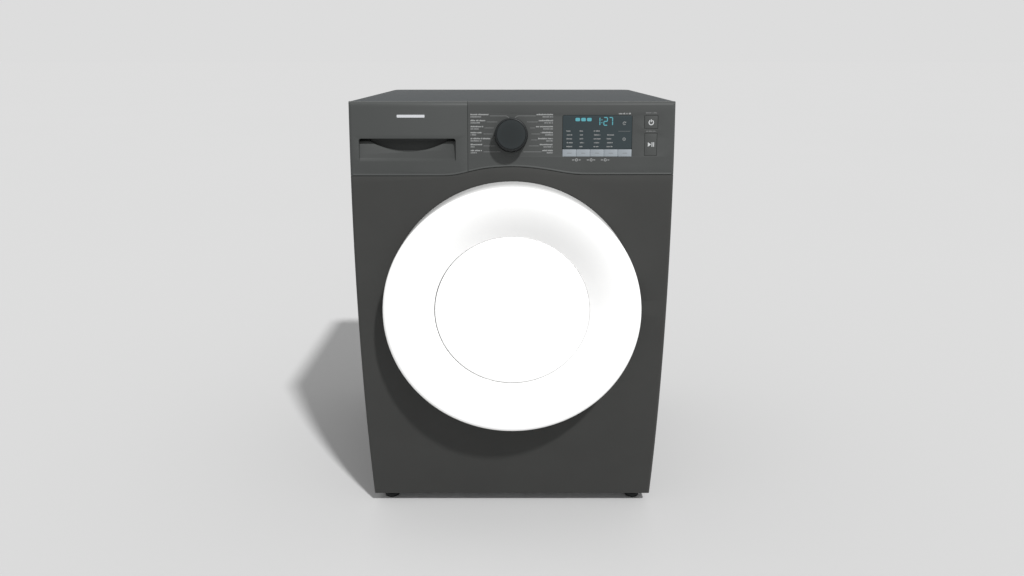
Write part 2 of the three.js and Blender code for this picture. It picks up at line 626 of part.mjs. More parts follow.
const lifterOutline = [
  [-30, 0], [30, 0], [17, 28], [10, 40], [0, 44], [-10, 40], [-17, 28],
];
for (let i = 0; i < 3; i++) {
  const angle = Math.PI / 2 + (i * 2 * Math.PI) / 3;
  const g = new THREE.ExtrudeGeometry(shapeOf(lifterOutline), {
    depth: DRUM_BACK_Y - DRUM_FRONT_Y - 70,
    bevelEnabled: false,
  });
  g.rotateX(Math.PI / 2).translate(0, DRUM_BACK_Y - 20, -DRUM_R);
  g.rotateY(Math.PI / 2 - angle).translate(0, 0, AXIS_Z);
  const lifter = common(solidOf(g), rodY(0, AXIS_Z, DRUM_R - 2 - GAP - 0.8, -400, 400, 40));
  add("drum_lifter_" + (i + 1), lifter, "steel");
}

let spider = turned([
  [0, DRUM_BACK_Y - 17.5], [52, DRUM_BACK_Y - 17.5], [40, DRUM_BACK_Y + 30], [0, DRUM_BACK_Y + 30],
], 32);
for (let i = 0; i < 3; i++) {
  const arm = new THREE.BoxGeometry(32, 24, 228).translate(0, DRUM_BACK_Y + 15, 114);
  arm.rotateY((i * 2 * Math.PI) / 3).translate(0, 0, AXIS_Z);
  spider = join(spider, solidOf(arm));
}
add("drum_spider", spider, "cast");
const shaft = turned([
  [0, DRUM_BACK_Y + 30 + GAP], [SHAFT_R, DRUM_BACK_Y + 30 + GAP], [SHAFT_R, 258], [0, 258],
], 24);
add("drum_shaft", shaft, "steel");

let pulley = join(
  turned([
    [PULLEY_R - 12, PULLEY_Y[0]], [PULLEY_R + 1.5, PULLEY_Y[0]], [PULLEY_R, PULLEY_Y[0] + 3],
    [PULLEY_R, PULLEY_Y[1] - 3], [PULLEY_R + 1.5, PULLEY_Y[1]], [PULLEY_R - 12, PULLEY_Y[1]],
  ], 36),
  turned([
    [SHAFT_R + GAP, PULLEY_Y[0] - 4], [34, PULLEY_Y[0] - 4], [34, PULLEY_Y[1]], [SHAFT_R + GAP, PULLEY_Y[1]],
  ], 24),
);
for (let i = 0; i < 6; i++) {
  const spoke = new THREE.BoxGeometry(14, 9, 104).translate(0, (PULLEY_Y[0] + PULLEY_Y[1]) / 2, 81);
  spoke.rotateY((i * Math.PI) / 3).translate(0, 0, AXIS_Z);
  pulley = join(pulley, solidOf(spoke));
}
add("drum_pulley", pulley, "cast");

// ---- suspension ----
for (const [place, s] of [["left", -1], ["right", 1]]) {
  const x = s * DAMPER.x;
  const cylinder = cut(
    join(rodZ(x, DAMPER.y, DAMPER.r, 40, 165), rodZ(x, DAMPER.y, 9, BODY_Z + 3 + GAP, 41, 16)),
    rodZ(x, DAMPER.y, DAMPER.rod + 0.5, 55, 166, 16),
  );
  add("damper_cylinder_" + place, cylinder, "grey");
  const clevis = box(x - 12, x + 12, DAMPER.y - 10, DAMPER.y + 10, 232, 290);
  const rod = cut(
    join(rodZ(x, DAMPER.y, DAMPER.rod, 78, 236, 16), clevis),
    rodY(0, AXIS_Z, TUB_R + 7 + GAP, -400, 400, 36),
  );
  add("damper_rod_" + place, rod, "zinc");
  const helix = [];
  const steps = SPRING.turns * 7;
  for (let i = 0; i <= steps; i++) {
    const a = (i / 7) * 2 * Math.PI;
    const rise = SPRING.wire + ((SPRING.z1 - SPRING.z0 - 2 * SPRING.wire) * i) / steps;
    helix.push([
      s * SPRING.x + SPRING.coil * Math.cos(a), SPRING.y + SPRING.coil * Math.sin(a), SPRING.z0 + rise,
    ]);
  }
  add("tub_spring_" + place, tube(helix, SPRING.wire, 0, steps, 2), "steel");
}
const sumpHose = cut(
  join(
    rodZ(PUMP.x, PUMP.y, 20, PUMP.z + 43, 197, 14),
    ...[155, 168, 181].map((z) => rodZ(PUMP.x, PUMP.y, 24, z, z + 6, 14)),
  ),
  rodZ(PUMP.x, PUMP.y, 16.5, 100, 240, 14),
);
add("sump_hose", sumpHose, "rubber");

// ---- door ----
const ringProfile = [
  [DOOR_R, -262], [DOOR_R, -327], [DOOR_R - 3, -334], [DOOR_R - 8.5, -337.3], [DOOR_R - 16, DOOR_FACE_Y],
  [200, -332.6], [168, -319.8], [DOOR_SEAM_R, -309.4], [DOOR_SEAM_R, -299.6], [152, -299.6], [152, -306.6],
  [168, -315], [200, -328.2], [DOOR_R - 16, -333.8], [DOOR_R - 8, -332], [DOOR_R - 4, -326], [DOOR_R - 4, -262],
];
const doorRing = cut(
  turned(ringProfile, 56),
  bowed(-260, 260, 200, 730, -2, 60),
  box(-250, -220, -291, -200, AXIS_Z - 60, AXIS_Z + 60),
  box(-250, -220, HINGE_Y - 12, -200, AXIS_Z - 14, AXIS_Z + 14),
  box(224, 250, -306, -200, AXIS_Z - 55, AXIS_Z + 55),
);
add("door_outer_ring", doorRing, "white");
const coverR = DOOR_SEAM_R - 1.2;
add("door_window_cover", turned([
  [0, -311.5], [75, -310.8], [coverR - 1, -308], [coverR, -307.2], [coverR, -303.2], [0, -303.2],
], 60), "white");

const lugSpan = [12.6, 28];
const hingeLugs = [-1, 1].map((s) => {
  const [a, b] = lugSpan.map((v) => AXIS_Z + s * v).sort((p, q) => p - q);
  return join(
    box(HINGE_X, -200, HINGE_Y - 4, HINGE_Y + 4, a, b),
    box(-206, -200, HINGE_Y - 4, -290, a, b),
    rodZ(HINGE_X, HINGE_Y, KNUCKLE_R, a, b, 16),
  );
});
const pinBore = rodZ(HINGE_X, HINGE_Y, PIN_R + GAP, AXIS_Z - 40, AXIS_Z + 40, 16);
const innerRing = cut(
  join(
    turned([[151, -293.6], [151, -289], [207, -289], [207, -304], [204, -304], [204, -293.6]], 48),
    ...hingeLugs,
  ),
  pinBore,
);
add("door_inner_ring", innerRing, "grey");
const glass = turned([
  [0, -166], [80, -167.5], [112, -174], [126, -190], [149, -294], [168, -294],
  [168, -298], [145.5, -298], [121.8, -191], [109, -178], [78, -171.6], [0, -170],
], 48);
add("door_glass", glass, "glass");
const hook = join(
  box(LATCH_X - 3, LATCH_X + 3, -288.7, -262, AXIS_Z - 8, AXIS_Z + 8),
  box(LATCH_X + 2, LATCH_X + 9, -267, -262, AXIS_Z - 8, AXIS_Z + 8),
);
add("latch_hook", hook, "zinc");

const bracket = cut(
  join(
    bowed(-226, -211, AXIS_Z - 36, AXIS_Z + 36, -4, -1),
    box(-226, -212, HINGE_Y - 4, -286, AXIS_Z - 12, AXIS_Z + 12),
    box(HINGE_X, -212, HINGE_Y - 4, HINGE_Y + 4, AXIS_Z - 12, AXIS_Z + 12),
    rodZ(HINGE_X, HINGE_Y, KNUCKLE_R, AXIS_Z - 12, AXIS_Z + 12, 16),
    rodZ(HINGE_X, HINGE_Y, PIN_R, AXIS_Z - 30, AXIS_Z + 30, 16),
  ),
);
add("hinge_bracket", bracket, "zinc");
const lock = cut(
  box(LATCH_X - 13, LATCH_X + 19, -278.6, -250, AXIS_Z - 30, AXIS_Z + 30),
  box(LATCH_X - 8, LATCH_X + 13, -281, -257, AXIS_Z - 14, AXIS_Z + 14),
);
add("door_lock", lock, "black");

export default group;
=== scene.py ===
import json
import math

import bmesh
import bpy
import numpy as np
from mathutils import Matrix, Vector

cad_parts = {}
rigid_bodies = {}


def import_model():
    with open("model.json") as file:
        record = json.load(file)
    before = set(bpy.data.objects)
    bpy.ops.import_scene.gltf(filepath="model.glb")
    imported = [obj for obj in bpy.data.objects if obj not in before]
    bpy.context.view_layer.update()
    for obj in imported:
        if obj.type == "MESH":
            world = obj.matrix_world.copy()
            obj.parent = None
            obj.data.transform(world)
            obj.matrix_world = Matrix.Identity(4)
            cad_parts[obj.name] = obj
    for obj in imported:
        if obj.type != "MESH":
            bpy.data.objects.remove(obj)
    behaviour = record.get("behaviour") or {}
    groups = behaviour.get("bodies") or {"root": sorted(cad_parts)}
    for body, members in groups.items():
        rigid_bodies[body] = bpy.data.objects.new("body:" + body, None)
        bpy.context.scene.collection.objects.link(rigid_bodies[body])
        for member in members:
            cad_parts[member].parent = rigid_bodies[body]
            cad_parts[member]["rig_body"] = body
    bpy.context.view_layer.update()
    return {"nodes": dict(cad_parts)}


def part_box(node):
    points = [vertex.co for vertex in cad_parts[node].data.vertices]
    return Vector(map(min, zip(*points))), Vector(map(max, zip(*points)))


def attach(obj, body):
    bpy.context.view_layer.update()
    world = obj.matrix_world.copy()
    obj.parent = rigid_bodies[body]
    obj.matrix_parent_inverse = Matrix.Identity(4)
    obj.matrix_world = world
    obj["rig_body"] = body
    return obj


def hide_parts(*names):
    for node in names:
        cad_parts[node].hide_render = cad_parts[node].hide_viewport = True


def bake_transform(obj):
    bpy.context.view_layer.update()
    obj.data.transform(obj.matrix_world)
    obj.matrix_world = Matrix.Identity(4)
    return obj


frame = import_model()

# ---- sizes, in millimetres, +Z up, front faces -Y; boxes are (x0, x1, z0, z1) ----
MM = 0.001
HALF_W, TOP_Z, BODY_Z = 300.0, 850.0, 22.0
APEX_Y, APEX_Z, BOW_R = -285.0, 410.0, 2100.0
SKIN_DEPTH = 16.0
EDGE_R = 7.0
AXIS_Z = 466.0
PORT_R = 172.0
DOOR_R = 242.5
HINGE_X, HINGE_Y = -230.0, -318.0
SEAM_X = -81.5
SEAM_GAP = 0.8
DRAWER_GAP = 0.5
SEAM_POINTS = [
    (-330, 718), (-112, 718), (-97, 721), (-82, 725), (-49, 732), (0, 735),
    (34, 733), (67, 728.5), (108, 721.5), (125, 720), (330, 720),
]
KNOB_X, KNOB_Z, KNOB_R = -1.4, 790.5, 30.8
DISPLAY = (93, 220, 766.3, 825.8)
POWER = (243, 267, 803, 825)
START = (244, 266, 755, 794)
OPTION_ROW = (93, 220, 753, 765.7)
HANDLE = (-282, -103.5, 744, 785)
KEY_CORNER, KEY_PROUD, KEY_DEPTH = 0.6, 0.2, 7
CUT_GAP = 0.5


def bow(z):
    """Y of the bowed front at a height."""
    return APEX_Y + (z - APEX_Z) ** 2 / (2 * BOW_R)


def seam(x):
    """Height of the fascia's lower edge, rounded at its turns."""
    near = [x + 4 * i for i in range(-4, 5)]
    xs, zs = zip(*SEAM_POINTS)
    return float(np.mean(np.interp(near, xs, zs)))


# ---- mesh helpers ----
def mesh_object(name, verts, faces):
    mesh = bpy.data.meshes.new(name)
    mesh.from_pydata([(x * MM, y * MM, z * MM) for x, y, z in verts], [], faces)
    made = bpy.data.objects.new(name, mesh)
    bpy.context.scene.collection.objects.link(made)
    edit(made, lambda bm: bmesh.ops.recalc_face_normals(bm, faces=bm.faces))
    return made


def edit(obj, change):
    bm = bmesh.new()
    bm.from_mesh(obj.data)
    change(bm)
    bm.to_mesh(obj.data)
    bm.free()
    return obj


def bake(obj):
    """Applies the object's modifiers."""
    graph = bpy.context.evaluated_depsgraph_get()
    done = bpy.data.meshes.new_from_object(obj.evaluated_get(graph))
    obj.modifiers.clear()
    obj.data = done
    return obj


def solid_faces(n, first=0):
    """Faces of a solid between two outlines of n points each, numbered from first."""
    near = [first + i for i in range(n)]
    far = [first + n + i for i in range(n)]
    walls = [[near[i], near[(i + 1) % n], far[(i + 1) % n], far[i]] for i in range(n)]
    return [near, far[::-1]] + walls


def prism(name, outline, d0, d1):
    """An outline in (x, z) pushed from depth d0 to d1."""
    verts = [(x, d0, z) for x, z in outline] + [(x, d1, z) for x, z in outline]
    return mesh_object(name, verts, solid_faces(len(outline)))


def rect(x0, x1, z0, z1):
    return [(x0, z0), (x1, z0), (x1, z1), (x0, z1)]


def round_rect(x0, x1, z0, z1, r, steps=6):
    left, right, low, high = x0 + r, x1 - r, z0 + r, z1 - r
    points = []
    for cx, cz, a0 in ((right, low, -90), (right, high, 0), (left, high, 90), (left, low, 180)):
        for i in range(steps + 1):
            a = math.radians(a0 + 90 * i / steps)
            points.append((cx + r * math.cos(a), cz + r * math.sin(a)))
    return points


def circle(x, z, r, steps):
    angles = [2 * math.pi * i / steps for i in range(steps)]
    return [(x + r * math.cos(a), z + r * math.sin(a)) for a in angles]


def block(x0, x1, y0, y1, z0, z1):
    return prism("block", rect(x0, x1, z0, z1), y0, y1)


def lathe(name, profile, segments=96, x=0.0, z=AXIS_Z, back_edge=None):
    """Turns (radius, y) points about the line along Y through (x, z).

    The outline is closed, or ends on the axis. A point with no y takes it from back_edge, by height.
    """
    verts, faces, rings = [], [], []
    for r, y in profile:
        if r < 1e-6:
            rings.append([len(verts)])
            verts.append((x, y, z))
            continue
        ring = []
        for i in range(segments):
            a = 2 * math.pi * i / segments
            pz = z + r * math.sin(a)
            py = back_edge(pz) if y is None else y
            ring.append(len(verts))
            verts.append((x + r * math.cos(a), py, pz))
        rings.append(ring)
    closed = len(rings[0]) > 1 and len(rings[-1]) > 1
    pairs = list(zip(rings, rings[1:])) + ([(rings[-1], rings[0])] if closed else [])
    for a, b in pairs:
        for i in range(segments):
            j = (i + 1) % segments
            if len(a) == 1 and len(b) == 1:
                break
            if len(a) == 1:
                faces.append([a[0], b[j], b[i]])
            elif len(b) == 1:
                faces.append([a[i], a[j], b[0]])
            else:
                faces.append([a[i], a[j], b[j], b[i]])
    return mesh_object(name, verts, faces)


def curve_through(points, per_span=5):
    """Catmull-Rom points through a list of pairs, ends kept."""
    p = [Vector(q) for q in points]
    p = [2 * p[0] - p[1]] + p + [2 * p[-1] - p[-2]]
    out = []
    for i in range(1, len(p) - 2):
        a, b, c, d = p[i - 1 : i + 3]
        for k in range(per_span):
            t = k / per_span
            square, cube = 2 * a - 5 * b + 4 * c - d, 3 * b - a - 3 * c + d
            q = 0.5 * (2 * b + (c - a) * t + square * t * t + cube * t**3)
            out.append((q.x, q.y))
    out.append(tuple(points[-1]))
    return out


def boolean(obj, *cutters, how="DIFFERENCE"):
    for cutter in cutters:
        m = obj.modifiers.new("cut", "BOOLEAN")
        m.operation = how
        m.solver = "EXACT"
        m.object = cutter
        bake(obj)
        bpy.data.objects.remove(cutter)
    return obj


def bevel(obj, width, segments=2, angle=32):
    m = obj.modifiers.new("bevel", "BEVEL")
    m.width = width * MM
    m.segments = segments
    m.limit_method = "ANGLE"
    m.angle_limit = math.radians(angle)
    m.use_clamp_overlap = True
    return bake(obj)


def slice_heights(obj, step):
    """Cuts the mesh along level lines so that it can take the front's bow."""
    zs = [v.co.z / MM for v in obj.data.vertices]
    levels = np.arange(math.ceil(min(zs) / step) * step, max(zs), step)

    def cut(bm):
        for z in levels:
            geom = bm.verts[:] + bm.edges[:] + bm.faces[:]
            bmesh.ops.bisect_plane(bm, geom=geom, plane_co=(0, 0, z * MM), plane_no=(0, 0, 1))

    return edit(obj, cut)


def onto_bow(obj):
    """Turns depth behind the front into Y on the bowed front."""
    for v in obj.data.vertices:
        v.co.y += bow(v.co.z / MM) * MM
    return obj


def bend(obj, step=16.0):
    return onto_bow(slice_heights(obj, step))


def smooth(obj, angle=38):
    for p in obj.data.polygons:
        p.use_smooth = True
    obj.data.set_sharp_from_angle(angle=math.radians(angle))
    return obj


def join(name, *parts):
    """One object from several meshes."""
    bm = bmesh.new()
    for part in parts:
        part.data.transform(part.matrix_world)
        bm.from_mesh(part.data)
    mesh = bpy.data.meshes.new(name)
    bm.to_mesh(mesh)
    bm.free()
    for part in parts:
        bpy.data.objects.remove(part)
    made = bpy.data.objects.new(name, mesh)
    bpy.context.scene.collection.objects.link(made)
    return made


def place(obj, material, body, *nodes):
    """Gives a finished piece its material and body, and hides the CAD nodes that it stands for."""
    obj.data.materials.clear()
    obj.data.materials.append(material)
    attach(obj, body)
    if nodes:
        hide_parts(*nodes)
    return obj


def copy_of(node, name):
    """A new mesh with a CAD node's shape, free to be bevelled."""
    source = frame["nodes"][node]
    made = bpy.data.objects.new(name, source.data.copy())
    for key in list(made.keys()):
        del made[key]
    bpy.context.scene.collection.objects.link(made)
    edit(made, lambda bm: bmesh.ops.remove_doubles(bm, verts=bm.verts, dist=1e-5))
    flat = math.radians(1)
    edit(made, lambda bm: bmesh.ops.dissolve_limit(bm, angle_limit=flat, verts=bm.verts, edges=bm.edges))
    return made


# ---- materials ----
class Shader:
    """A Principled material with helpers for noise, bump and mixes."""

    def __init__(self, name):
        self.material = bpy.data.materials.new(name)
        self.material.use_nodes = True
        self.tree = self.material.node_tree
        self.bsdf = self.tree.nodes["Principled BSDF"]
        self.where = self.node("ShaderNodeTexCoord").outputs["Object"]

    def node(self, kind, **settings):
        made = self.tree.nodes.new(kind)
        for key, value in settings.items():
            setattr(made, key, value)
        return made

    def link(self, a, b):
        self.tree.links.new(a, b)

    def stretched(self, scale):
        mapping = self.node("ShaderNodeMapping")
        mapping.inputs["Scale"].default_value = scale
        self.link(self.where, mapping.inputs["Vector"])
        return mapping.outputs["Vector"]

    def noise(self, scale, detail=3.0, stretch=None, roughness=0.55):
        made = self.node("ShaderNodeTexNoise")
        made.inputs["Scale"].default_value = scale
        made.inputs["Detail"].default_value = detail
        made.inputs["Roughness"].default_value = roughness
        self.link(self.stretched(stretch) if stretch else self.where, made.inputs["Vector"])
        return made.outputs["Fac"]

    def ramp(self, value, low, high, start=0.3, end=0.7):
        """Maps a 0 to 1 value onto low to high."""
        made = self.node("ShaderNodeMapRange")
        made.inputs["From Min"].default_value = start
        made.inputs["From Max"].default_value = end
        made.inputs["To Min"].default_value = low
        made.inputs["To Max"].default_value = high
        self.link(value, made.inputs["Value"])
        return made.outputs["Result"]

    def mix(self, value, a, b):
        made = self.node("ShaderNodeMix", data_type="RGBA")
        made.inputs["A"].default_value = (*a, 1)
        made.inputs["B"].default_value = (*b, 1)
        self.link(value, made.inputs["Factor"])
        return made.outputs["Result"]

    def bump(self, value, strength, distance):
        made = self.node("ShaderNodeBump")
        made.inputs["Strength"].default_value = strength
        made.inputs["Distance"].default_value = distance
        self.link(value, made.inputs["Height"])
        return made.outputs["Normal"]

    def edges(self):
        """1 on sharp outer edges, which get a painted highlight, 0 elsewhere."""
        made = self.node("ShaderNodeNewGeometry")
        return self.ramp(made.outputs["Pointiness"], 0.0, 1.0, 0.49, 0.56)

    def set(self, **values):
        for key, value in values.items():
            self.bsdf.inputs[key.replace("_", " ")].default_value = value

    def drive(self, value, socket):
        """Feeds a pattern into one of the surface's sockets."""
        self.link(value, self.bsdf.inputs[socket])


def shade(color, share):
    return tuple(min(1.0, c * share) for c in color)


def coated(
    name, color, roughness, grain, depth, metallic=0.0, spread=0.06, edge_highlight=1.25, coat=0.0, gloss=0.5
):
    """Paint or moulded plastic: mottled colour, fine grain in the surface, and outer edges lightened as a
    painted highlight.
    """
    s = Shader(name)
    cloud = s.noise(9, 4)
    base = s.mix(s.ramp(cloud, 0, 1), shade(color, 1 - spread), shade(color, 1 + spread))
    # Painted highlight: the colour is lightened on sharp outer edges.
    highlit_edges = s.node("ShaderNodeMix", data_type="RGBA")
    highlit_edges.inputs["B"].default_value = (*shade(color, edge_highlight), 1)
    s.link(s.edges(), highlit_edges.inputs["Factor"])
    s.link(base, highlit_edges.inputs["A"])
    s.drive(highlit_edges.outputs["Result"], "Base Color")
    fine = s.noise(grain, 2)
    s.drive(s.ramp(fine, roughness * 0.88, roughness * 1.12), "Roughness")
    s.drive(s.bump(fine, 0.35, depth), "Normal")
    s.set(Metallic=metallic, Coat_Weight=coat, Coat_Roughness=0.08, Specular_IOR_Level=gloss)
    return s.material


def brushed(name, color, roughness, stretch, grain=260):
    """Metal with fine lines along one direction."""
    s = Shader(name)
    lines = s.noise(grain, 5, stretch)
    cloud = s.noise(7, 3)
    s.drive(s.mix(s.ramp(lines, 0, 1, 0.25, 0.75), shade(color, 0.86), shade(color, 1.1)), "Base Color")
    s.drive(s.ramp(cloud, roughness * 0.8, roughness * 1.25), "Roughness")
    s.drive(s.bump(lines, 0.12, 0.0002), "Normal")
    s.set(Metallic=1.0, Anisotropic=0.5)
    return s.material


def galvanised(name, color):
    """Zinc sheet with faint crystals."""
    s = Shader(name)
    cells = s.node("ShaderNodeTexVoronoi", feature="F1")
    cells.inputs["Scale"].default_value = 150
    s.link(s.where, cells.inputs["Vector"])
    tone = s.node("ShaderNodeSeparateColor")
    s.link(cells.outputs["Color"], tone.inputs["Color"])
    s.drive(s.mix(tone.outputs["Red"], shade(color, 0.93), shade(color, 1.05)), "Base Color")
    s.drive(s.ramp(tone.outputs["Green"], 0.36, 0.46, 0, 1), "Roughness")
    s.drive(s.bump(s.noise(500, 2), 0.2, 0.0001), "Normal")
    s.set(Metallic=0.9)
    return s.material


def rubbery(name, color, roughness=0.62):
    """Dusty rubber."""
    s = Shader(name)
    dust = s.noise(35, 6)
    s.drive(s.mix(s.ramp(dust, 0, 1), shade(color, 0.85), shade(color, 1.25)), "Base Color")
    s.drive(s.ramp(dust, roughness * 0.85, roughness * 1.15), "Roughness")
    s.drive(s.bump(s.noise(1400, 3), 0.4, 0.0001), "Normal")
    return s.material


def stony(name, color):
    """Cast concrete."""
    s = Shader(name)
    grit = s.noise(320, 8, roughness=0.7)
    patch = s.noise(12, 5)
    s.drive(s.mix(s.ramp(patch, 0, 1), shade(color, 0.75), shade(color, 1.15)), "Base Color")
    s.set(Roughness=0.92)
    s.drive(s.bump(grit, 0.8, 0.0012), "Normal")
    return s.material


def clear(name, color):
    """Pressed glass."""
    s = Shader(name)
    s.set(Base_Color=(*color, 1), Transmission_Weight=1.0, IOR=1.48, Metallic=0.0)
    s.drive(s.ramp(s.noise(20, 3), 0.03, 0.075), "Roughness")
    return s.material


def glowing(name, color, strength):
    """Lit display figures."""
    s = Shader(name)
    s.set(Base_Color=(*shade(color, 0.4), 1), Roughness=0.4)
    s.set(Emission_Color=(*color, 1))
    s.drive(s.ramp(s.noise(900, 2), strength * 0.9, strength * 1.1), "Emission Strength")
    return s.material


PAINT = coated("cabinet_paint", (0.0362, 0.0366, 0.0352), 0.5, 900, 0.00012, gloss=0.12)
MOULDING = coated("panel_moulding", (0.0465, 0.0488, 0.0478), 0.48, 1500, 0.00008, gloss=0.14)
TOP = coated("top_paint", (0.0430, 0.0470, 0.0490), 0.6, 1200, 0.00015, gloss=0.1)
WHITE = coated("door_white", (0.95, 0.95, 0.945), 0.22, 700, 0.00002, spread=0.01, edge_highlight=1.0, coat=0.3)
BLACK = coated("knob_black", (0.0095, 0.0105, 0.011), 0.42, 1600, 0.00006, edge_highlight=1.4, gloss=0.2)
KNOB_FACE = coated("knob_face", (0.0175, 0.0205, 0.0213), 0.36, 1600, 0.00005, edge_highlight=1.3, gloss=0.15)
SILVER = coated("key_silver", (0.185, 0.205, 0.222), 0.38, 1800, 0.00004, gloss=0.4)
WINDOW = coated("window_dark", (0.0275, 0.037, 0.0405), 0.2, 400, 0.00001, edge_highlight=1.0, gloss=0.2)
GREY = coated("grey_plastic", (0.29, 0.30, 0.31), 0.46, 1300, 0.00010)
TUB = coated("tub_plastic", (0.62, 0.62, 0.60), 0.55, 1100, 0.00015)
CAST = coated("cast_metal", (0.34, 0.35, 0.37), 0.5, 420, 0.0006, metallic=0.8)
LABEL = coated("label_print", (0.26, 0.265, 0.265), 0.5, 900, 0.00001, edge_highlight=1.0, gloss=0.1)
LABEL_DIM = coated("label_print_dim", (0.215, 0.22, 0.22), 0.5, 900, 0.00001, edge_highlight=1.0, gloss=0.1)
LINE = coated("leader_print", (0.155, 0.158, 0.158), 0.5, 900, 0.00001, edge_highlight=1.0, gloss=0.1)
ICON = coated("icon_print", (0.42, 0.43, 0.43), 0.5, 900, 0.00001, edge_highlight=1.0, gloss=0.1)
BADGE = coated("badge_silver", (0.55, 0.56, 0.58), 0.25, 1800, 0.00003, metallic=0.7)
DRUM_STEEL = brushed("drum_steel", (0.62, 0.63, 0.64), 0.26, (1, 0.06, 1))
SHAFT_STEEL = brushed("shaft_steel", (0.6, 0.61, 0.62), 0.3, (1, 0.1, 1), 400)
ZINC = galvanised("galvanised_sheet", (0.52, 0.53, 0.54))
SEAL = rubbery("seal_rubber", (0.16, 0.165, 0.17))
BELT = rubbery("belt_rubber", (0.022, 0.022, 0.022), 0.75)
CONCRETE = stony("concrete", (0.38, 0.37, 0.35))
GLASS = clear("door_glass_clear", (0.93, 0.97, 0.98))
GLOW = glowing("display_glow", (0.08, 0.36, 0.42), 0.42)


# ---- the front pieces ----
def front_block(name, outline):
    """A block of the front whose outer edges are well rounded."""

    def on_side(v):
        return abs(abs(v.co.x / MM) - HALF_W) < 0.01

    def on_top(v):
        return abs(v.co.z / MM - TOP_Z) < 0.01

    def soften(bm):
        face_edges = [e for e in bm.edges if all(abs(v.co.y) < 1e-7 for v in e.verts)]
        outer = [e for e in face_edges if all(map(on_side, e.verts)) or all(map(on_top, e.verts))]
        bmesh.ops.bevel(bm, geom=outer, offset=EDGE_R * MM, segments=6, profile=0.5, affect="EDGES")

    return edit(prism(name, outline, 0, SKIN_DEPTH), soften)


def seam_run(x0, x1, lift, step=8.0):
    """Points along the fascia's lower edge, raised by lift."""
    n = max(2, int(abs(x1 - x0) / step))
    return [(x0 + (x1 - x0) * i / n, seam(x0 + (x1 - x0) * i / n) + lift) for i in range(n + 1)]


half = SEAM_GAP / 2
panel_outline = [(-HALF_W, BODY_Z), (HALF_W, BODY_Z)] + seam_run(HALF_W, -HALF_W, -half)
front_panel = front_block("front_panel_skin", panel_outline)
boolean(
    front_panel,
    prism("port", circle(0, AXIS_Z, PORT_R, 128), -5, 30),
    prism("slot", round_rect(187, 211, 449, 483, 3), -5, 30),
)
bevel(front_panel, 1.0, 3)
smooth(bend(front_panel))
place(front_panel, PAINT, "cabinet", "front_panel")

split = DRAWER_GAP / 2
fascia_outline = seam_run(SEAM_X + split, HALF_W, half) + [(HALF_W, TOP_Z), (SEAM_X + split, TOP_Z)]
fascia = front_block("control_fascia_skin", fascia_outline)


def room_for(x0, x1, z0, z1):
    """A box on the front with the gap that a key keeps around it."""
    return x0 - CUT_GAP, x1 + CUT_GAP, z0 - CUT_GAP, z1 + CUT_GAP


boolean(
    fascia,
    prism("display", round_rect(*room_for(DISPLAY[0], DISPLAY[1], OPTION_ROW[2], DISPLAY[3]), 3.4), -5, 6),
    prism("power", rect(*room_for(*POWER)), -5, 6),
    prism("start", rect(*room_for(*START)), -5, 6),
)
bevel(fascia, 0.4, 2)
bend(fascia)
frame_plate = bend(
    boolean(
        prism("frame_plate", rect(-285, SEAM_X + 2, 724, 816), SKIN_DEPTH + 0.8, SKIN_DEPTH + 4),
        prism("opening", rect(-292, -93, 740, 814), 0, 60),
    )
)
fascia = smooth(join("control_fascia_skin", fascia, frame_plate))
place(fascia, MOULDING, "cabinet", "control_fascia")


def lower_lip(name, x0, x1):
    """Raised bead along the fascia's lower edge."""
    section = [(1.5, 0.5), (-0.35, 0.7), (-0.7, 1.2), (-0.55, 1.9), (0.05, 3.6), (1.5, 3.6)]
    run = seam_run(x0, x1, half, 6.0)
    n = len(section)
    verts = [(x, d, z + lift) for x, z in run for d, lift in section]
    faces = [list(range(n)), [n * (len(run) - 1) + i for i in range(n)][::-1]]
    for k in range(len(run) - 1):
        for i in range(n):
            j = (i + 1) % n
            faces.append([k * n + i, k * n + j, (k + 1) * n + j, (k + 1) * n + i])
    return smooth(onto_bow(mesh_object(name, verts, faces)), 50)


place(lower_lip("fascia_lip", SEAM_X + 1.2, HALF_W - 6), MOULDING, "cabinet")
place(lower_lip("drawer_lip", -HALF_W + 6, SEAM_X - 1.2), MOULDING, "detergent_drawer")

# Drawer front with its recessed pull.
drawer_outline = seam_run(-HALF_W, SEAM_X - split, half) + [(SEAM_X - split, TOP_Z), (-HALF_W, TOP_Z)]
drawer = front_block("drawer_front_skin", drawer_outline)
hx0, hx1, hz0, hz1 = HANDLE
back = block(hx0 - 3, hx1 + 3, 10, 23, hz0 - 3, hz1 + 11)
boolean(drawer, back, how="UNION")


def pull_cut(x0, x1):
    """Hollow of the pull: narrow sill, sloping back, and a slot behind the upper edge."""
    side = [
        (-6, hz0 - 3), (0, hz0 + 0.6), (3.6, hz0 + 3.6), (4.2, hz0 + 5.4), (6.8, hz0 + 20), (9.5, hz1 - 6),
        (16, hz1 - 3.5), (20, hz1), (20, hz1 + 7), (5, hz1 + 7), (4, hz1), (0, hz1), (-6, hz1 + 1),
    ]
    verts = [(x0, y, z) for y, z in side] + [(x1, y, z) for y, z in side]
    made = mesh_object("pull", verts, solid_faces(len(side)))
    mouth = prism("mouth", round_rect(x0, x1, hz0 - 3.5, hz1, 4.5), -10, 5)
    behind = prism("behind", round_rect(x0, x1, hz0 - 3.5, hz1 + 8, 4.5), 4.5, 30)
    boolean(mouth, behind, how="UNION")
    return boolean(made, mouth, how="INTERSECT")


def scoop():
    """Smile-shaped hollow for the fingertips in the sloping back."""
    smile = [
        (-264, 779.5), (-248, 772), (-222, 763.8), (-191.5, 760.6), (-161, 763.8), (-135, 772), (-119, 779.5),
    ]
    arc = curve_through(smile, 6)
    return prism("scoop", arc + [(-122, hz1 - 0.5), (-261, hz1 - 0.5)], 3, 20)


boolean(drawer, pull_cut(hx0, hx1), scoop())
bevel(drawer, 0.5, 2)
smooth(bend(drawer, 12), 34)
place(drawer, MOULDING, "detergent_drawer", "drawer_front")

